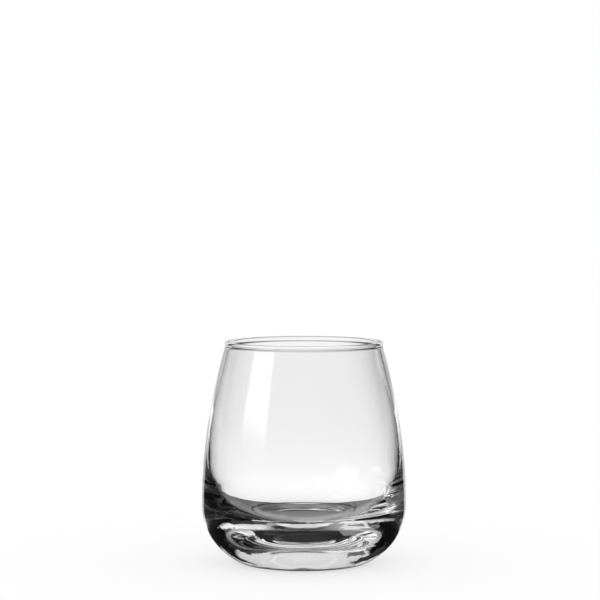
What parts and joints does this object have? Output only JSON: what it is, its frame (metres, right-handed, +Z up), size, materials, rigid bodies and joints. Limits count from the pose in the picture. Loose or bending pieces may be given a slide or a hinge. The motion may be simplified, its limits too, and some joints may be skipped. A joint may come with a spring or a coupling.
{
  "type": "stemless dessert glass",
  "caption": "Stemless clear glass tumbler with a tapered mouth, rounded lip, wide low belly and heavy hollowed base, for desserts and short drinks.",
  "frame": {"origin": "on the axis, in the plane that the glass stands on", "axes": "+Z up along the axis; the glass is round, so X and Y may be taken either way"},
  "size_m": [0.0844, 0.0844, 0.091],
  "materials": {
    "clear_glass": "clear, fire-polished"
  },
  "bodies": {
    "root": {"glass_body": "clear_glass"}
  },
  "joints": []
}
